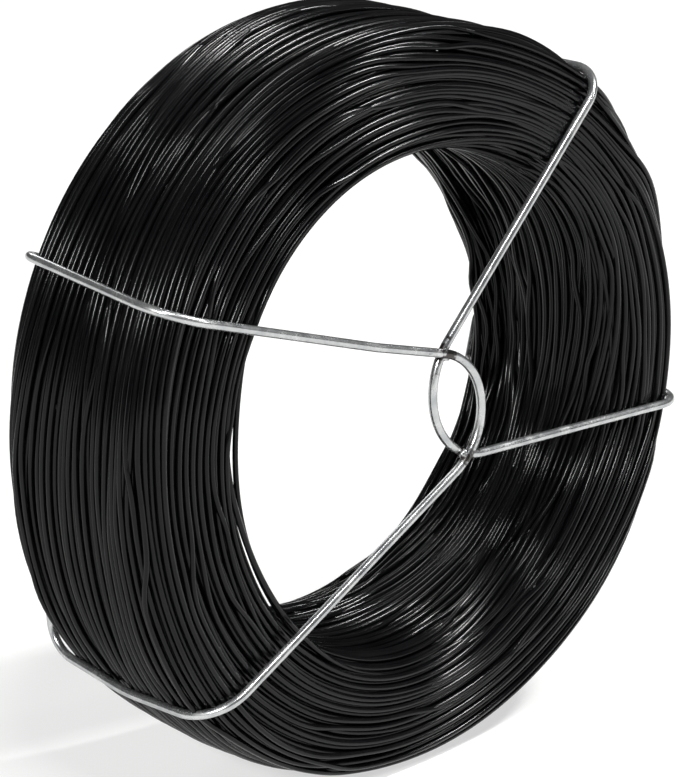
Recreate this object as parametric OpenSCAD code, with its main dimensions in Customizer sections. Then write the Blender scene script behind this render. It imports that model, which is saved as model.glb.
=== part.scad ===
/* [Coil] */
// outside diameter of the wound coil
coil_diameter = 200; // [150:1:300]
// how thick the turns lie on each other, from the rim in to the bore
wound_depth = 33.5; // [27:0.5:45]
// width of the coil along its axis
coil_width = 58; // [40:1:90]
// radius to which the corners of the wound section are rounded
corner_radius = 8; // [5:0.5:12]
// radius of the rim's front corner, which the tight retainers round off
front_corner_radius = 9.5; // [8:0.5:14]
// diameter of the binding wire
wire_diameter = 1.6; // [1.2:0.1:3]
// share of its diameter by which each outer turn settles into the next
turn_settling = 0.04; // [0.02:0.01:0.15]

/* [Retainer wires] */
// diameter of the retainer wire
retainer_diameter = 2.4; // [1.6:0.1:4]
// depth to which a retainer is pulled in among the turns it crosses
seat_depth = 0.3; // [0.1:0.05:0.6]
// depth to which two retainers are pressed into each other at a weld
weld_depth = 0.3; // [0.1:0.05:0.6]
// share of its diameter that the wire loses where it is drawn round a bend
bend_thinning = 0.01; // [0.008:0.002:0.03]
// angle at the rim of the left wire's upper arm, from the right-hand side
left_upper_angle = 154.4; // [140:0.1:170]
// angle at the rim of the left wire's lower arm
left_lower_angle = 218.6; // [200:0.1:230]
// angle at the rim of the right wire's upper arm
right_upper_angle = 52.3; // [40:0.1:65]
// angle at the rim of the right wire's lower arm
right_lower_angle = -10.8; // [-25:0.1:5]
// angle by which the left wire leans round the rim on its way to the back
left_wire_lean = 2.7; // [0:0.1:5]
// angle by which the right wire leans
right_wire_lean = -0.5; // [-3:0.1:3]

/* [Eye in front of the bore] */
// radius of each wire's bow round the eye, to the middle of the wire
eye_bend_radius = 18; // [12:0.5:20]
// how far right of the axis the left wire's arms would meet if not bowed
left_wire_reach = 43.4; // [38:0.2:48]
// height of that meeting point over the axis
left_wire_rise = 3.9; // [-4:0.1:8]
// how far left of the axis the right wire's arms would meet if not bowed
right_wire_reach = 24.6; // [20:0.2:30]
// depth of that meeting point under the axis
right_wire_drop = 12.9; // [6:0.1:18]

/* [Closing weld behind the coil] */
// distance of each closing weld outward from the edge of the bore
weld_inset = 10.7; // [8:0.1:16]
// angle from the arm at the rim back to its closing weld
weld_offset = 1.2; // [0:0.1:5]
// angle from the weld up to the corner of the wire's tail
tail_corner_offset = 9.1; // [8:0.1:14]
// angle from that corner up to the tail's outer bend
tail_bend_offset = 2.7; // [1:0.1:5]
// how much further out the tail's corner lies than the weld
tail_corner_rise = 1.6; // [0:0.1:4]
// how much further out the tail's outer bend lies than the weld
tail_bend_rise = 10.5; // [8:0.5:14]
// radius of the two small bends of the tail
tail_bend = 4; // [2.5:0.25:5]
// length of wire left over past the closing weld
lap_end = 2.6; // [2:0.2:6]

/* [Hidden] */

$fn = 96;
outer_radius = coil_diameter / 2;
bore_radius = outer_radius - wound_depth;
wire_radius = wire_diameter / 2;
turn_line = coil_width / 2 - wire_radius;
turn_pitch = wire_diameter * (1 - turn_settling);
half_across = wound_depth / 2;
half_along = coil_width / 2;
middle_radius = (outer_radius + bore_radius) / 2;

retainer_radius = retainer_diameter / 2;
rim_path = outer_radius + retainer_radius - seat_depth;
face_path = coil_width / 2 + retainer_radius - seat_depth;
over_corner = corner_radius + retainer_radius - seat_depth;
over_front_corner = front_corner_radius + retainer_radius - seat_depth;
weld_step = retainer_diameter - weld_depth;
weld_radius = bore_radius + weld_inset;
bend_diameter = retainer_diameter * (1 - bend_thinning);
bend_lap = 0.15;

// one outer turn of the winding, seen in section
module turn_at(across, along) {
    translate([middle_radius + across, along]) circle(r = wire_radius);
}

// a straight row of turns between two points of the section
module turn_row(from, to) {
    count = ceil(norm(to - from) / turn_pitch);
    for (i = [0 : count - 1]) {
        spot = from + (to - from) * i / count;
        turn_at(spot.x, spot.y);
    }
}

// a rectangle of the section between two opposite corner points
module packed_block(from, to) {
    translate(from) square(to - from);
}

// the packed turns: plain along the rim, the bore and the corners, and sunk between the turns at the ends
module packed_core() {
    inner = half_across - corner_radius;
    front_outer = half_across - front_corner_radius;
    end = half_along - corner_radius;
    front_end = half_along - front_corner_radius;
    translate([middle_radius, 0]) {
        packed_block([-half_across, -end], [half_across, front_end]);
        packed_block([-inner, -turn_line], [inner, -end + corner_radius / 2]);
        packed_block([-inner, -end], [front_outer, turn_line]);
        packed_block([-half_across, -end], [front_outer, end]);
        for (spot = [[-inner, end], [-inner, -end], [inner, -end]])
            translate(spot) circle(r = corner_radius);
        translate([front_outer, front_end]) circle(r = front_corner_radius);
    }
}

// the section, with its turns showing across both ends
module wound_section() {
    inner = half_across - corner_radius;
    front_outer = half_across - front_corner_radius;
    packed_core();
    turn_row([front_outer, turn_line], [-inner, turn_line]);
    turn_row([-inner, -turn_line], [inner, -turn_line]);
    turn_at(-inner, turn_line);
    turn_at(inner, -turn_line);
}

module wire_coil() {
    color([0.03, 0.03, 0.035])
        translate([0, 0, outer_radius])
            rotate([90, 0, 0])
                rotate_extrude() wound_section();
}

function unit(v) = v / norm(v);
// a point at an angle round the coil's axis, at a depth along it
function round_axis(radius, angle, depth) = [radius * cos(angle), depth, radius * sin(angle)];
// where two lines cross when seen from the front
function share_to_crossing(a, b, c, d) =
    ((c.x - a.x) * (d.z - c.z) - (c.z - a.z) * (d.x - c.x))
    / ((b.x - a.x) * (d.z - c.z) - (b.z - a.z) * (d.x - c.x));

function turn_angle(p, q, r) = acos(unit(q - p) * unit(r - q));
function tangent_length(p, q, r, bend) = bend * tan(turn_angle(p, q, r) / 2);

module straight_wire(from, to) {
    way = to - from;
    translate(from)
        rotate([0, atan2(norm([way.x, way.y]), way.z), atan2(way.y, way.x)])
            cylinder(d = retainer_diameter, h = norm(way));
}

// the bend of a wire at q on its way from p to r
module wire_bend(p, q, r, bend) {
    come = unit(q - p);
    go = unit(r - q);
    inward = unit(go - come * (go * come));
    normal = cross(come, inward);
    start = q - come * tangent_length(p, q, r, bend);
    roll = atan2(come.z, normal.z);
    pitch = atan2(inward.z, norm([come.z, normal.z]));
    yaw = atan2(-inward.y, -inward.x);
    translate(start + inward * bend)
        rotate([roll, pitch, yaw])
            rotate_extrude(angle = turn_angle(p, q, r))
                translate([bend, 0]) circle(d = bend_diameter);
}

// a wire along corner points, each corner rounded to its own bend; the straights lap the thinner bends
module bent_wire(points, bends) {
    last = len(points) - 1;
    cut = [for (i = [0 : last]) i == 0 || i == last ? 0
        : tangent_length(points[i - 1], points[i], points[i + 1], bends[i]) - bend_lap];
    for (i = [1 : last]) {
        way = unit(points[i] - points[i - 1]);
        straight_wire(points[i - 1] + way * cut[i - 1], points[i] - way * cut[i]);
    }
    for (i = [1 : last - 1])
        wire_bend(points[i - 1], points[i], points[i + 1], bends[i]);
}

// the whole loop of one retainer, from its lap behind the coil round to its tail
module retainer(near_angle, far_angle, lean, meeting) {
    weld_angle = near_angle - lean - weld_offset;
    corner_angle = weld_angle + tail_corner_offset;
    bend_angle = corner_angle + tail_bend_offset;
    near_rear = round_axis(rim_path, near_angle - lean, face_path);
    near_front = round_axis(rim_path, near_angle, -face_path);
    far_front = round_axis(rim_path, far_angle, -face_path);
    far_rear = round_axis(rim_path, far_angle - lean, face_path);
    weld_near = round_axis(weld_radius, weld_angle, face_path);
    weld_far = weld_near + [0, weld_step, 0];
    tail_out = round_axis(weld_radius + tail_bend_rise, bend_angle, face_path + weld_step);
    tail_corner = round_axis(weld_radius + tail_corner_rise, corner_angle, face_path + weld_step);
    first = weld_near + unit(weld_near - near_rear) * lap_end;
    final = weld_far + unit(weld_far - tail_corner) * lap_end;
    translate([0, 0, outer_radius])
        bent_wire(
            [first, near_rear, near_front, meeting, far_front, far_rear, tail_out, tail_corner, final],
            [0, over_corner, over_front_corner, eye_bend_radius, over_front_corner, over_corner,
                tail_bend, tail_bend, 0]
        );
}

right_meeting = [-right_wire_reach, -face_path, -right_wire_drop];
left_level = [left_wire_reach, 0, left_wire_rise];
upper_share = share_to_crossing(
    round_axis(rim_path, left_upper_angle, 0), left_level,
    round_axis(rim_path, right_upper_angle, 0), right_meeting);
lower_share = share_to_crossing(
    round_axis(rim_path, left_lower_angle, 0), left_level,
    round_axis(rim_path, right_lower_angle, 0), right_meeting);
left_meeting = left_level - [0, face_path + 2 * weld_step / (upper_share + lower_share), 0];

module retainer_wire_left() {
    color([0.72, 0.73, 0.74])
        retainer(left_upper_angle, left_lower_angle, left_wire_lean, left_meeting);
}

module retainer_wire_right() {
    color([0.72, 0.73, 0.74])
        retainer(right_lower_angle, right_upper_angle, right_wire_lean, right_meeting);
}

wire_coil();
retainer_wire_left();
retainer_wire_right();
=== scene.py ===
import math
import bmesh
import bpy
import numpy as np
from mathutils import Matrix, Vector, noise


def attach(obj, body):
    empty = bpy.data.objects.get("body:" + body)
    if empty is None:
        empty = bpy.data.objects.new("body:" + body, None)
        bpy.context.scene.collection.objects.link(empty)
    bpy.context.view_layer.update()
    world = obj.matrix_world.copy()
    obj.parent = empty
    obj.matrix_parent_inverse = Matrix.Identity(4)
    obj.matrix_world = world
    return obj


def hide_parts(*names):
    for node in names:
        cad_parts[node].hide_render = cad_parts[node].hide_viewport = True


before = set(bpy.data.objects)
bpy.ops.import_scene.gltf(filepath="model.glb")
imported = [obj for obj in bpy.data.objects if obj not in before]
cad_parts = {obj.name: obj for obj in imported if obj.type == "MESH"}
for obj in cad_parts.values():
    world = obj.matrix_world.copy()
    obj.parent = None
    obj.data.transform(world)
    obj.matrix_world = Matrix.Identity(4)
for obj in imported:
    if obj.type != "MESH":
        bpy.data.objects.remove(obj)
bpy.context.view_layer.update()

mm = 0.001


def linearColor(hexColor):
    parts = [int(hexColor[i:i + 2], 16) / 255 for i in (1, 3, 5)]
    return [c / 12.92 if c <= 0.04045 else ((c + 0.055) / 1.055) ** 2.4 for c in parts] + [1.0]


def addNode(tree, kind, values=None, **settings):
    node = tree.nodes.new(kind)
    for key, value in settings.items():
        setattr(node, key, value)
    for key, value in (values or {}).items():
        node.inputs[key].default_value = value
    return node


def addRamp(tree, *stops):
    ramp = addNode(tree, "ShaderNodeValToRGB")
    for element, (position, hexColor) in zip(ramp.color_ramp.elements, stops):
        element.position = position
        element.color = linearColor(hexColor)
    return ramp


def newMaterial(name, roughness, metallic=0.0, **sockets):
    material = bpy.data.materials.new(name)
    material.use_nodes = True
    tree = material.node_tree
    shader = tree.nodes["Principled BSDF"]
    shader.inputs["Roughness"].default_value = roughness
    shader.inputs["Metallic"].default_value = metallic
    for key, value in sockets.items():
        shader.inputs[key.replace("_", " ")].default_value = value
    return material, tree, shader


# the black drawn wire

blackWire = {
    "dark": "#030304",
    "worn": "#0b0b0c",
    "specular": 0.18,
    "shine": (0.12, 0.2),  # roughness of the smoothest and of the dullest turns
    "blotchScale": 90.0,
    "turnShare": 0.45,  # how much a turn's own tone counts beside the blotches
    "wornFrom": 0.35,
    "wornTo": 0.95,
    "gritScale": 2600.0,
    "gritStrength": 0.02,
    "gritHeight": 0.0001,  # in m
}


def makeBlackWireMaterial(cfg):
    smoothest, dullest = cfg["shine"]
    material, tree, shader = newMaterial("black annealed drawn wire", smoothest, Specular_IOR_Level=cfg["specular"])
    link = tree.links.new
    place = addNode(tree, "ShaderNodeTexCoord")
    tone = addNode(tree, "ShaderNodeAttribute", attribute_name="strandTone")
    blotch = addNode(tree, "ShaderNodeTexNoise", {"Scale": cfg["blotchScale"], "Detail": 4.0, "Roughness": 0.6})
    link(place.outputs["Object"], blotch.inputs["Vector"])
    addUp = addNode(tree, "ShaderNodeMath", operation="MULTIPLY_ADD")
    link(tone.outputs["Fac"], addUp.inputs[0])
    addUp.inputs[1].default_value = cfg["turnShare"]
    link(blotch.outputs["Fac"], addUp.inputs[2])
    ramp = addRamp(tree, (cfg["wornFrom"], cfg["dark"]), (cfg["wornTo"], cfg["worn"]))
    link(addUp.outputs[0], ramp.inputs["Fac"])
    link(ramp.outputs["Color"], shader.inputs["Base Color"])
    spread = addNode(tree, "ShaderNodeMapRange",
                     {"From Min": 0.3, "From Max": 1.0, "To Min": smoothest, "To Max": dullest})
    link(addUp.outputs[0], spread.inputs["Value"])
    link(spread.outputs["Result"], shader.inputs["Roughness"])
    grit = addNode(tree, "ShaderNodeTexNoise", {"Scale": cfg["gritScale"], "Detail": 2.0})
    link(place.outputs["Object"], grit.inputs["Vector"])
    bump = addNode(tree, "ShaderNodeBump", {"Strength": cfg["gritStrength"], "Distance": cfg["gritHeight"]})
    link(grit.outputs["Fac"], bump.inputs["Height"])
    link(bump.outputs["Normal"], shader.inputs["Normal"])
    return material


# a tree that sweeps a round wire along the edges of a path mesh

def makeWireTree(name):
    tree = bpy.data.node_groups.new(name, "GeometryNodeTree")
    tree.interface.new_socket("Path", in_out="INPUT", socket_type="NodeSocketGeometry")
    tree.interface.new_socket("Wire Diameter", in_out="INPUT", socket_type="NodeSocketFloat")
    tree.interface.new_socket("Sides", in_out="INPUT", socket_type="NodeSocketInt")
    tree.interface.new_socket("Finish", in_out="INPUT", socket_type="NodeSocketMaterial")
    tree.interface.new_socket("Wire", in_out="OUTPUT", socket_type="NodeSocketGeometry")
    link = tree.links.new
    given = addNode(tree, "NodeGroupInput")
    result = addNode(tree, "NodeGroupOutput")
    toCurve = addNode(tree, "GeometryNodeMeshToCurve")
    half = addNode(tree, "ShaderNodeMath", operation="MULTIPLY")
    half.inputs[1].default_value = 0.5
    profile = addNode(tree, "GeometryNodeCurvePrimitiveCircle")
    sweep = addNode(tree, "GeometryNodeCurveToMesh", {"Fill Caps": True})
    smooth = addNode(tree, "GeometryNodeSetShadeSmooth")
    realize = addNode(tree, "GeometryNodeRealizeInstances")
    finish = addNode(tree, "GeometryNodeSetMaterial")
    link(given.outputs["Path"], toCurve.inputs["Mesh"])
    link(given.outputs["Wire Diameter"], half.inputs[0])
    link(given.outputs["Sides"], profile.inputs["Resolution"])
    link(half.outputs[0], profile.inputs["Radius"])
    link(toCurve.outputs["Curve"], sweep.inputs["Curve"])
    link(profile.outputs["Curve"], sweep.inputs["Profile Curve"])
    link(sweep.outputs["Mesh"], smooth.inputs["Geometry"])
    link(smooth.outputs["Geometry"], realize.inputs["Geometry"])
    link(realize.outputs["Geometry"], finish.inputs["Geometry"])
    link(given.outputs["Finish"], finish.inputs["Material"])
    link(finish.outputs["Geometry"], result.inputs["Wire"])
    return tree


def socketKey(tree, name):
    return next(item.identifier for item in tree.interface.items_tree if item.name == name and item.in_out == "INPUT")


def sweepWire(pieceName, paths, closed, tones, tree, diameter, sides, material):
    points = np.concatenate(paths)
    edges, start = [], 0
    for path in paths:
        n = len(path)
        edges += [(start + i, start + i + 1) for i in range(n - 1)]
        if closed:
            edges.append((start + n - 1, start))
        start += n
    mesh = bpy.data.meshes.new(pieceName + "Path")
    mesh.from_pydata(points.tolist(), edges, [])
    tone = mesh.attributes.new("strandTone", "FLOAT", "POINT")
    spread = np.concatenate([np.broadcast_to(t, len(path)) for path, t in zip(paths, tones)])
    tone.data.foreach_set("value", spread.astype(np.float32))
    holder = bpy.data.objects.new(pieceName, mesh)
    bpy.context.scene.collection.objects.link(holder)
    modifier = holder.modifiers.new("wire", "NODES")
    modifier.node_group = tree
    modifier[socketKey(tree, "Wire Diameter")] = diameter
    modifier[socketKey(tree, "Sides")] = sides
    modifier[socketKey(tree, "Finish")] = material
    seen = holder.evaluated_get(bpy.context.evaluated_depsgraph_get())
    made = bpy.data.meshes.new_from_object(seen)
    holder.modifiers.remove(modifier)
    holder.data = made
    made.name = pieceName
    bpy.data.meshes.remove(mesh)
    return holder


# the winding

winding = {
    "coilRadius": 100.0,
    "boreRadius": 66.5,
    "width": 58.0,
    "cornerRadius": 8.0,
    "wireDiameter": 1.6,
    "stations": 180,
    "sides": 6,
    "layers": [  # turns in each layer and how far a turn wanders from its own line, in mm
        {"turns": 80, "wander": 0.1},
        {"turns": 76, "wander": 0.3},
        {"turns": 56, "wander": 1.5},
    ],
    "inset": 3.0,  # of the line that the turns' heights are measured from
    "drift": 2.0,  # how far neighbouring turns wander together
    "waviness": 0.28,  # of the ground that the first layer lies on
    "firstDepth": 3.8,  # of the first layer's middle under the outline
    # where the rear edge of the bore lies further out
    "openRear": {"depth": 9.0, "reach": 12.0, "shift": 5.0, "from": -26.0, "to": 34.0, "soft": 4.0},
    # where the rim bulges
    "swollen": {"height": 2.4, "along": 28.0, "from": 200.0, "to": 246.0, "soft": 5.0},
    # where the retainers' front bends press the turns in
    "pressed": {"depth": 1.5, "along": 7.0, "round": 9.0, "at": (154.4, 218.6, -10.8, 52.3)},
    "loose": [  # turns that hang into the bore: radius and depth, how far they hang, from and to which angle
        (70.5, -24.5, 4.6, 158, 226),
        (69.5, -22.0, 4.0, 171, 214),
        (71.5, -26.2, 4.2, 186, 238),
    ],
    "looseSoft": 7.0,  # degrees in which they leave the others
    "neighbours": 16,  # a turn rests on those that start within this distance
    "settling": {"steps": 16, "stride": 0.3, "steepest": 1.5, "pull": 0.02},
    "tautSteps": 8,
    "standOut": {"from": 0.5, "most": 0.45, "over": 0.8},  # how far turns may rise at the outline
    "seed": 11,
    "toneSeed": 5,
}


def sectionOutline(cfg, inset, step=0.1):
    a = (cfg["coilRadius"] - cfg["boreRadius"]) / 2 - inset
    b = cfg["width"] / 2 - inset
    c = max(cfg["cornerRadius"] - inset, 1.0)
    pts, nrm = [], []
    for cx, cy, start in ((a - c, b - c, 0), (-a + c, b - c, 90), (-a + c, -b + c, 180), (a - c, -b + c, 270)):
        n = max(2, int(round(c * math.pi / 2 / step)))
        for i in range(n + 1):
            t = math.radians(start + 90 * i / n)
            pts.append((cx + c * math.cos(t), cy + c * math.sin(t)))
            nrm.append((math.cos(t), math.sin(t)))
    pts.append(pts[0])
    nrm.append(nrm[0])
    pts, nrm = np.array(pts), np.array(nrm)
    length = np.concatenate([[0], np.cumsum(np.hypot(*np.diff(pts, axis=0).T))])
    return pts, nrm, length


def between(degrees, start, end, soft):
    return 1 / (1 + np.exp(-(degrees - start) / soft)) / (1 + np.exp((degrees - end) / soft))


def windTurns(cfg):
    rng = np.random.default_rng(cfg["seed"])
    inset = cfg["inset"]
    pts, nrm, length = sectionOutline(cfg, inset)
    total = length[-1]
    count = cfg["stations"]
    theta = np.arange(count) * 2 * math.pi / count
    d = cfg["wireDiameter"]

    def at(u):
        u = np.mod(u, total)
        p = np.stack([np.interp(u, length, pts[:, k]) for k in (0, 1)], -1)
        n = np.stack([np.interp(u, length, nrm[:, k]) for k in (0, 1)], -1)
        return p, n / np.linalg.norm(n, axis=-1, keepdims=True)

    def wrapped(u):
        return (u + total / 2) % total - total / 2

    def drawWaves(howMany, rounds, sides):
        return [(rng.integers(*rounds), rng.integers(*sides), rng.uniform(0, 6.28), rng.uniform(0.4, 1))
                for _ in range(howMany)]

    def ripple(waves, u):
        size = math.sqrt(sum(w[3] ** 2 for w in waves) / 2)
        return sum(w[3] * np.cos(w[0] * theta + w[1] * 2 * math.pi * u / total + w[2]) for w in waves) / size

    driftWaves = drawWaves(14, (1, 4), (-3, 4))
    groundWaves = drawWaves(10, (0, 5), (1, 7))

    def cornerAt(across, along):
        # the outline's point nearest to one far out on that side
        return length[np.argmin(np.hypot(pts[:, 0] - 99 * across, pts[:, 1] - 99 * along))]

    rearEdge, frontEdge = cornerAt(-1, 1), cornerAt(1, -1)
    gap, bulge, pressed = cfg["openRear"], cfg["swollen"], cfg["pressed"]
    degrees = (np.degrees(theta) + 180) % 360 - 180
    openness = between(degrees, gap["from"], gap["to"], gap["soft"])
    swollenShare = between(np.degrees(theta), bulge["from"], bulge["to"], bulge["soft"])
    sunk = np.zeros(count)
    for angle in pressed["at"]:
        apart = ((degrees - angle + 180) % 360 - 180) * math.pi / 180 * cfg["coilRadius"]
        sunk += pressed["depth"] * np.exp(-((apart / pressed["round"]) ** 2))

    def swell(u):
        off = wrapped(u + cfg["width"] / 2 - cfg["cornerRadius"])
        return bulge["height"] * swollenShare * np.exp(-((off / bulge["along"]) ** 2))

    def groundHeight(u):
        away = wrapped(u - rearEdge - gap["shift"])
        dip = gap["depth"] * openness * np.exp(-((away / gap["reach"]) ** 2))
        dent = sunk * np.exp(-((wrapped(u - frontEdge) / pressed["along"]) ** 2))
        return inset - cfg["firstDepth"] + cfg["waviness"] * ripple(groundWaves, u) + swell(u) - dip - dent

    def calm(x, times):
        for _ in range(times):
            x = 0.25 * np.roll(x, 1) + 0.5 * x + 0.25 * np.roll(x, -1)
        return x

    def support(u, near):
        # the height at which a turn rests on the ground and on the turns near it
        p, n = at(u)
        best = groundHeight(u)
        if len(near):
            v = near - p
            a = (v * n).sum(-1)
            perp = (v ** 2).sum(-1) - a ** 2
            lift = np.where(perp < d * d, a + np.sqrt(np.maximum(d * d - perp, 0)), -99)
            best = np.maximum(best, lift.max(0))
        return best

    placed, startOf = np.zeros((0, count, 2)), np.zeros(0)
    settling, standOut = cfg["settling"], cfg["standOut"]
    stride = settling["stride"]
    for layer in cfg["layers"]:
        turns = layer["turns"]
        starts = (np.arange(turns) + rng.uniform(-0.2, 0.2, turns)) * total / turns
        for k in rng.permutation(turns):
            base = starts[k]
            own = sum(rng.uniform(0.3, 1) * np.cos(m * theta + rng.uniform(0, 6.28)) / m for m in (1, 2, 3, 4))
            aim = base + cfg["drift"] * ripple(driftWaves, base) + layer["wander"] * own
            near = placed[np.abs(wrapped(startOf - base)) < cfg["neighbours"]]
            u = aim.copy()
            for _ in range(settling["steps"]):
                slope = (support(u + stride, near) - support(u - stride, near)) / (2 * stride)
                slope = np.clip(slope, -settling["steepest"], settling["steepest"])
                u = calm(u - stride * slope + settling["pull"] * (aim - u), 3)
            raw = support(u, near)
            h = raw.copy()
            for _ in range(cfg["tautSteps"]):
                h = np.maximum(raw, calm(h, 2))
            h = calm(h, 1)
            # no turn stands out of the outline
            over = h + d / 2 - inset + standOut["from"] - swell(u)
            h = np.where(over > 0, h - over + standOut["most"] * np.tanh(over / standOut["over"]), h)
            p, n = at(u)
            placed = np.concatenate([placed, (p + n * h[:, None])[None]])
            startOf = np.append(startOf, base)
    return placed, theta


strands, theta = windTurns(winding)
print("wound", len(strands), "turns")

middleRadius = (winding["coilRadius"] + winding["boreRadius"]) / 2


def hangLoose(cfg):
    turns = []
    for radius, depth, hang, start, end in cfg["loose"]:
        lift = between(np.degrees(theta), start, end, cfg["looseSoft"])
        across = radius - middleRadius - hang * lift + 0.5 * np.cos(2 * theta + radius)
        turns.append(np.stack([across, np.full(len(theta), depth) + 0.6 * np.cos(3 * theta + depth)], -1))
    return turns


def sideOf(spot):
    across, along = spot[:, 0].mean(), spot[:, 1].mean()
    halfAcross = (winding["coilRadius"] - winding["boreRadius"]) / 2
    if abs(along) / (winding["width"] / 2) > abs(across) / halfAcross:
        return "Front" if along < 0 else "Rear"
    return "Rim" if across > 0 else "Bore"


def roundTheAxis(radius, angle, depth):
    return np.stack([radius * np.cos(angle), depth, radius * np.sin(angle) + winding["coilRadius"]], -1)


wireTree = makeWireTree("sweep round wire")
blackMaterial = makeBlackWireMaterial(blackWire)
toneOf = np.random.default_rng(winding["toneSeed"])
for side in ("Rim", "Front", "Bore", "Rear"):
    mine = [spot for spot in strands if sideOf(spot) == side]
    if side == "Bore":
        mine += hangLoose(winding)
    paths = [roundTheAxis(middleRadius + spot[:, 0], theta, spot[:, 1]) * mm for spot in mine]
    tones = toneOf.uniform(0, 1, len(mine))
    piece = sweepWire("woundTurns" + side, paths, True, tones, wireTree,
                      winding["wireDiameter"] * mm, winding["sides"], blackMaterial)
    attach(piece, "root")
    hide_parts("wire_coil")
    print("swept", len(mine), "turns for the", side.lower(), "-", len(piece.data.polygons), "faces")


# the packed turns under them, built as one ring, seen only as dark between the outer turns

packing = {
    "inset": 13.0,
    "stations": 120,
    "sides": 80,
}


def makePackedTurns(cfg):
    pts, nrm, length = sectionOutline(winding, cfg["inset"])
    sides, stations = cfg["sides"], cfg["stations"]
    along = np.linspace(0, length[-1], sides, endpoint=False)
    ring = np.stack([np.interp(along, length, pts[:, k]) for k in (0, 1)], -1)
    verts, faces = [], []
    for i in range(stations):
        angle = np.full(sides, i * 2 * math.pi / stations)
        verts += (roundTheAxis(middleRadius + ring[:, 0], angle, ring[:, 1]) * mm).tolist()
        here, there = i * sides, (i + 1) % stations * sides
        for j in range(sides):
            following = (j + 1) % sides
            faces.append((here + j, here + following, there + following, there + j))
    mesh = bpy.data.meshes.new("packedTurns")
    mesh.from_pydata(verts, [], faces)
    mesh.materials.append(blackMaterial)
    mesh.shade_smooth()
    piece = bpy.data.objects.new("packedTurns", mesh)
    bpy.context.scene.collection.objects.link(piece)
    return piece


packed = makePackedTurns(packing)
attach(packed, "root")
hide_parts("wire_coil")
print("packed turns laid under the outer ones")


# the galvanised steel

galvanisedWire = {
    "dark": "#a2a4a6",
    "light": "#c4c5c5",
    "burnt": "#2e2825",
    "metallic": 0.9,
    "shine": (0.2, 0.3),  # roughness of the dark and of the light spots
    "mottleScale": 230.0,
    "mottle": (0.3, 0.7),  # from where to where in the noise it goes from dark to light
    "speckScale": 620.0,
    "scorch": (0.96, 1.12),  # from where to where in heat plus specks it goes from clean to burnt
    "burntShare": 0.92,
}


def makeGalvanised(cfg):
    material, tree, shader = newMaterial("galvanised steel wire, bright", cfg["shine"][1], cfg["metallic"])
    link = tree.links.new
    place = addNode(tree, "ShaderNodeTexCoord")
    mottle = addNode(tree, "ShaderNodeTexNoise", {"Scale": cfg["mottleScale"], "Detail": 3.0})
    link(place.outputs["Object"], mottle.inputs["Vector"])
    mottleFrom, mottleTo = cfg["mottle"]
    ramp = addRamp(tree, (mottleFrom, cfg["dark"]), (mottleTo, cfg["light"]))
    link(mottle.outputs["Fac"], ramp.inputs["Fac"])
    heat = addNode(tree, "ShaderNodeAttribute", attribute_name="strandTone")
    speck = addNode(tree, "ShaderNodeTexNoise", {"Scale": cfg["speckScale"], "Detail": 2.0})
    link(place.outputs["Object"], speck.inputs["Vector"])
    scorch = addNode(tree, "ShaderNodeMath", operation="ADD")
    link(heat.outputs["Fac"], scorch.inputs[0])
    link(speck.outputs["Fac"], scorch.inputs[1])
    burnt = addNode(tree, "ShaderNodeMapRange",
                    {"From Min": cfg["scorch"][0], "From Max": cfg["scorch"][1], "To Max": cfg["burntShare"]})
    link(scorch.outputs[0], burnt.inputs["Value"])
    tint = addNode(tree, "ShaderNodeMix", data_type="RGBA")
    tint.inputs["B"].default_value = linearColor(cfg["burnt"])
    link(burnt.outputs["Result"], tint.inputs["Factor"])
    link(ramp.outputs["Color"], tint.inputs["A"])
    link(tint.outputs["Result"], shader.inputs["Base Color"])
    spread = addNode(tree, "ShaderNodeMapRange", {"From Min": mottleFrom, "From Max": mottleTo,
                                                  "To Min": cfg["shine"][0], "To Max": cfg["shine"][1]})
    link(mottle.outputs["Fac"], spread.inputs["Value"])
    link(spread.outputs["Result"], shader.inputs["Roughness"])
    return material


# the two retainer wires, in mm and degrees round the coil

retainers = {
    "wireDiameter": 2.4,
    "seat": 0.3,  # how far a wire is sunk into the winding
    "weldDepth": 0.3,
    "leftInFront": 2.85,  # how far the left wire's eye lies in front of the right one's
    "leftEyeBend": 18.1,
    "rightEyeBend": 19.8,
    "leftSag": 1.3,
    "leftBow": 2.2,  # how far the lower left wire arches over the swollen rim
    "slightBend": 60,  # radius of the sag and the bow
    "leftFrontBend": 13.4,
    "rightFrontBend": 10.4,
    # where the two arms' lines meet in front, from the coil's middle
    "leftMeeting": (42.2, 4.4),
    "rightMeeting": (-27.3, -12.8),
    # the angles at which the arms cross the rim's front edge
    "leftArms": (154.2, 218.9),
    "rightArms": (-10.8, 52.3),
    "leftLean": 2.7,
    "rightLean": -0.5,
    "weldRadius": 77.2,
    "weldOffset": 1.2,
    "tailCorner": 9.1,
    "tailCornerRise": 1.6,
    "tailBend": 2.7,
    "tailBendRise": 10.5,
    "tailRounding": 4.0,
    "lapEnd": 2.6,
    "heat": ((0.32, 2.8), (0.4, 18.0)),  # strength and reach of the scorching along the wire
    "sides": 16,
}


def roundedPath(corners, bends, step=1.2, spacing=3.0):
    corners = [np.array(c, float) for c in corners]
    path = [corners[0]]
    for i in range(1, len(corners) - 1):
        come = corners[i] - corners[i - 1]
        go = corners[i + 1] - corners[i]
        come, go = come / np.linalg.norm(come), go / np.linalg.norm(go)
        turn = math.acos(float(np.clip(come @ go, -1, 1)))
        inward = go - come * (go @ come)
        inward /= np.linalg.norm(inward)
        start = corners[i] - come * bends[i] * math.tan(turn / 2)
        middle = start + inward * bends[i]
        n = max(3, int(math.ceil(bends[i] * turn / step)))
        for k in range(n + 1):
            t = turn * k / n
            path.append(middle - inward * bends[i] * math.cos(t) + come * bends[i] * math.sin(t))
    path.append(corners[-1])
    dense = [path[0]]
    for a, b in zip(path[:-1], path[1:]):
        n = max(1, int(np.linalg.norm(b - a) / spacing))
        dense += [a + (b - a) * k / n for k in range(1, n + 1)]
    return np.array(dense)


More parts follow.
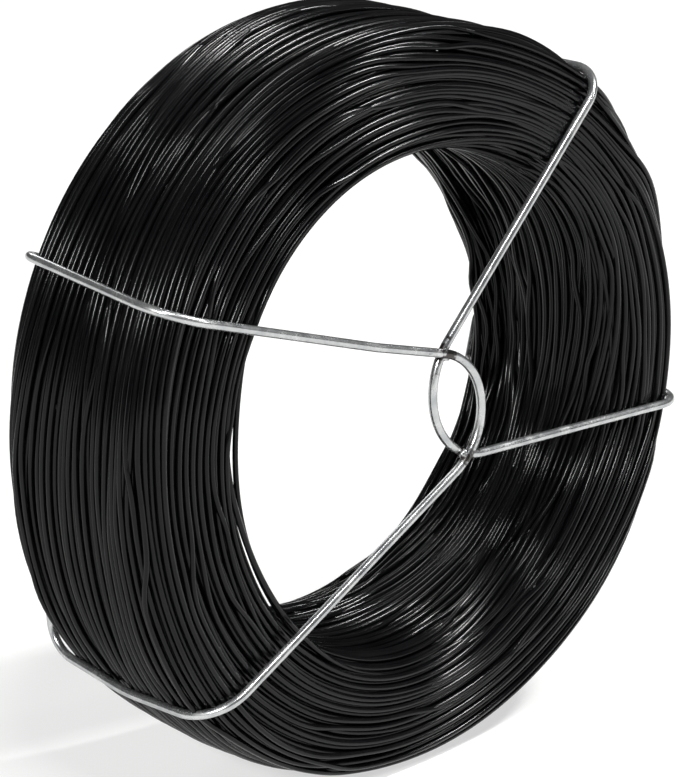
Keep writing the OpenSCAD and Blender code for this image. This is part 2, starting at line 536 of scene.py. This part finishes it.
def aroundAxis(radius, degrees, depth):
    t = math.radians(degrees)
    return np.array([radius * math.cos(t), depth, radius * math.sin(t) + winding["coilRadius"]])


def retainerPath(cfg, near, far, lean, meeting, frontBend, eyeBend, sag, bow):
    r = cfg["wireDiameter"] / 2
    rim = winding["coilRadius"] + r - cfg["seat"]
    face = winding["width"] / 2 + r - cfg["seat"]
    corner = winding["cornerRadius"] + r - cfg["seat"]
    lift = cfg["wireDiameter"] - cfg["weldDepth"]
    weldAngle = near - lean - cfg["weldOffset"]
    nearRear, nearFront = aroundAxis(rim, near - lean, face), aroundAxis(rim, near, -face)
    farFront, farRear = aroundAxis(rim, far, -face), aroundAxis(rim, far - lean, face)
    weldNear = aroundAxis(cfg["weldRadius"], weldAngle, face)
    weldFar = weldNear + np.array([0, lift, 0])
    behind = face + lift
    tailAngle = weldAngle + cfg["tailCorner"]
    tailOut = aroundAxis(cfg["weldRadius"] + cfg["tailBendRise"], tailAngle + cfg["tailBend"], behind)
    tailCorner = aroundAxis(cfg["weldRadius"] + cfg["tailCornerRise"], tailAngle, behind)

    def past(end, before):
        return end + (end - before) / np.linalg.norm(end - before) * cfg["lapEnd"]

    corners = [past(weldNear, nearRear), nearRear, nearFront, meeting, farFront, farRear, tailOut, tailCorner,
               past(weldFar, tailCorner)]
    bends = [0, corner, frontBend, eyeBend, frontBend, corner, cfg["tailRounding"], cfg["tailRounding"], 0]
    if bow:
        corners.insert(5, aroundAxis(rim + bow, far - lean / 2, 0))
        bends.insert(5, cfg["slightBend"])
    if sag:
        corners.insert(3, (nearFront + meeting) / 2 - np.array([0, 0, sag]))
        bends.insert(3, cfg["slightBend"])
    return roundedPath(corners, bends)


galvanised = makeGalvanised(galvanisedWire)
facePath = winding["width"] / 2 + retainers["wireDiameter"] / 2 - retainers["seat"]


def meetingPoint(place, inFront):
    return np.array([place[0], -facePath - inFront, place[1] + winding["coilRadius"]])


rightMeeting = meetingPoint(retainers["rightMeeting"], 0)
leftMeeting = meetingPoint(retainers["leftMeeting"], retainers["leftInFront"])
leftPath = retainerPath(retainers, *retainers["leftArms"], retainers["leftLean"], leftMeeting,
                        retainers["leftFrontBend"], retainers["leftEyeBend"],
                        retainers["leftSag"], retainers["leftBow"])
rightPath = retainerPath(retainers, *retainers["rightArms"], retainers["rightLean"], rightMeeting,
                         retainers["rightFrontBend"], retainers["rightEyeBend"], 0, 0)


def crossing(above):
    # where the two wires meet in front of the coil, over or under the eye's middle
    one = leftPath[leftPath[:, 1] < -facePath - 0.5]
    two = rightPath[rightPath[:, 1] < -facePath + 0.5]
    level = (leftMeeting[2] + rightMeeting[2]) / 2
    one, two = [p[(p[:, 2] > level) == above] for p in (one, two)]
    gaps = np.hypot(one[:, None, 0] - two[None, :, 0], one[:, None, 2] - two[None, :, 2])
    i, j = np.unravel_index(gaps.argmin(), gaps.shape)
    return (one[i] + two[j]) / 2


def lapWeld(path):
    # the end of the wire lies on its own beginning, behind the coil
    return (path[0] + path[-1]) / 2


def heatAlong(path, welds):
    near = np.min([np.linalg.norm(path - spot, axis=1) for spot in welds], axis=0)
    return sum(strength * np.exp(-((near / reach) ** 2)) for strength, reach in retainers["heat"])


eyeWelds = [crossing(True), crossing(False)]
for name, node, path in (
    ("retainerLeft", "retainer_wire_left", leftPath),
    ("retainerRight", "retainer_wire_right", rightPath),
):
    heat = heatAlong(path, eyeWelds + [lapWeld(path)])
    piece = sweepWire(name, [path * mm], False, [heat], wireTree,
                      retainers["wireDiameter"] * mm, retainers["sides"], galvanised)
    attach(piece, "root")
    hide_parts(node)
print("retainer wires bent and swept")


# the weld beads

welding = {
    "lumpScale": 900,
    "lumpHeight": 0.45,
    "heat": 0.5,
    "beads": [  # name, the wire it sits on, middle, radius
        ("weldTop", "retainer_wire_left", eyeWelds[0] + np.array([-0.4, -0.3, -0.6]), 1.25),
        ("weldTopSpatter", "retainer_wire_left", eyeWelds[0] + np.array([-1.2, -0.9, 1.1]), 0.75),
        ("weldBottom", "retainer_wire_left", eyeWelds[1] + np.array([-0.6, -0.4, 0.2]), 1.4),
        ("weldBottomSpatter", "retainer_wire_right", eyeWelds[1] + np.array([1.3, -0.6, -0.7]), 0.7),
        ("lapWeldLeft", "retainer_wire_left", lapWeld(leftPath), 1.15),
        ("lapWeldRight", "retainer_wire_right", lapWeld(rightPath), 1.15),
    ],
}


def makeBead(cfg, name, spot, size, seed):
    shape = bmesh.new()
    bmesh.ops.create_icosphere(shape, subdivisions=3, radius=size * mm)
    for v in shape.verts:
        lump = noise.noise(v.co * cfg["lumpScale"] + Vector((seed, 0, 0)))
        v.co *= 1 + cfg["lumpHeight"] * lump
        v.co += Vector(spot * mm)
    mesh = bpy.data.meshes.new(name)
    shape.to_mesh(mesh)
    shape.free()
    mesh.shade_smooth()
    tone = mesh.attributes.new("strandTone", "FLOAT", "POINT")
    tone.data.foreach_set("value", np.full(len(mesh.vertices), cfg["heat"], np.float32))
    mesh.materials.append(galvanised)
    piece = bpy.data.objects.new(name, mesh)
    bpy.context.scene.collection.objects.link(piece)
    return piece


for name, node, spot, size in welding["beads"]:
    piece = makeBead(welding, name, spot, size, len(name))
    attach(piece, "root")
    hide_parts(node)
print("weld beads set")


# floor, light and camera

studio = {
    "floor": "#f4f4f2",
    "floorSize": 9.0,
    "floorGlow": 0.6,  # keeps the floor pale where it is seen directly or mirrored
    "worldStrength": 0.08,
    "lamps": [  # name, place, length round the coil's axis, width, power in W
        ("keyLeft", (-1.6, -0.7, 1.06), 0.3, 0.2, 31.0),
        ("keyTop", (0.9, -0.75, 1.75), 0.4, 0.2, 50.0),
        ("keyUpper", (-0.55, -0.8, 1.86), 0.45, 0.16, 18.0),
        ("keyFront", (1.14, -1.37, 1.02), 0.2, 0.16, 5.0),
        ("fillBack", (0.6, 1.5, 1.0), 0.6, 0.6, 5.0),
    ],
}


coilMiddle = Vector((0, 0, winding["coilRadius"] * mm))


def makeFloor(cfg):
    size = cfg["floorSize"] / 2
    mesh = bpy.data.meshes.new("studioFloor")
    mesh.from_pydata([(-size, -size, 0), (size, -size, 0), (size, size, 0), (-size, size, 0)], [], [(0, 1, 2, 3)])
    material, tree, shader = newMaterial("studio floor, pale", 0.9, Specular_IOR_Level=0.0)
    link = tree.links.new
    shader.inputs["Base Color"].default_value = linearColor(cfg["floor"])
    glow = addNode(tree, "ShaderNodeEmission", {"Color": (1, 1, 1, 1)})
    rays = addNode(tree, "ShaderNodeLightPath")
    seen = rays.outputs["Is Camera Ray"]
    for kind in ("Is Glossy Ray", "Is Transmission Ray"):
        either = addNode(tree, "ShaderNodeMath", operation="MAXIMUM")
        link(seen, either.inputs[0])
        link(rays.outputs[kind], either.inputs[1])
        seen = either.outputs[0]
    share = addNode(tree, "ShaderNodeMath", operation="MULTIPLY")
    share.inputs[1].default_value = cfg["floorGlow"]
    blend = addNode(tree, "ShaderNodeMixShader")
    link(seen, share.inputs[0])
    link(share.outputs[0], blend.inputs["Fac"])
    link(shader.outputs["BSDF"], blend.inputs[1])
    link(glow.outputs["Emission"], blend.inputs[2])
    link(blend.outputs["Shader"], tree.nodes["Material Output"].inputs["Surface"])
    mesh.materials.append(material)
    floor = bpy.data.objects.new("studioFloor", mesh)
    bpy.context.scene.collection.objects.link(floor)


def makeLight(cfg):
    world = bpy.data.worlds.new("studio")
    world.use_nodes = True
    ground = world.node_tree.nodes["Background"]
    ground.inputs["Color"].default_value = (1, 1, 1, 1)
    ground.inputs["Strength"].default_value = cfg["worldStrength"]
    bpy.context.scene.world = world
    for name, place, length, width, power in cfg["lamps"]:
        lamp = bpy.data.lights.new(name, "AREA")
        lamp.shape = "RECTANGLE"
        lamp.size, lamp.size_y = length, width
        lamp.energy = power
        # the long side runs round the coil's axis, so the highlights stretch along the turns
        back = (Vector(place) - coilMiddle).normalized()
        across = back.cross(Vector((0, 1, 0))).normalized()
        holder = bpy.data.objects.new(name, lamp)
        holder.location = place
        holder.rotation_euler = Matrix((across, back.cross(across), back)).transposed().to_euler()
        bpy.context.scene.collection.objects.link(holder)


view = {
    "azimuth": -44.17,
    "elevation": 17.92,
    "distance": 0.784,
    "focalPixels": 2967.0,
    "middle": (358.8, 386.2),
    "image": (679, 777),
    "sensor": 36.0,
}


def makeCamera(cfg):
    az, el = math.radians(cfg["azimuth"]), math.radians(cfg["elevation"])
    back = Vector((math.sin(az) * math.cos(el), -math.cos(az) * math.cos(el), math.sin(el)))
    right = Vector((math.cos(az), math.sin(az), 0))
    up = back.cross(right)
    data = bpy.data.cameras.new("photoView")
    wide, high = cfg["image"]
    data.sensor_width = cfg["sensor"]
    data.lens = cfg["focalPixels"] * cfg["sensor"] / high
    data.shift_x = (wide / 2 - cfg["middle"][0]) / high
    data.shift_y = (cfg["middle"][1] - high / 2) / high
    data.clip_start, data.clip_end = 0.05, 30
    holder = bpy.data.objects.new("photoView", data)
    turn = Matrix((right, up, back)).transposed().to_4x4()
    holder.matrix_world = Matrix.Translation(coilMiddle + back * cfg["distance"]) @ turn
    bpy.context.scene.collection.objects.link(holder)
    bpy.context.scene.camera = holder


makeFloor(studio)
makeLight(studio)
makeCamera(view)
bpy.context.scene.view_settings.view_transform = "Standard"
print("studio and camera set")
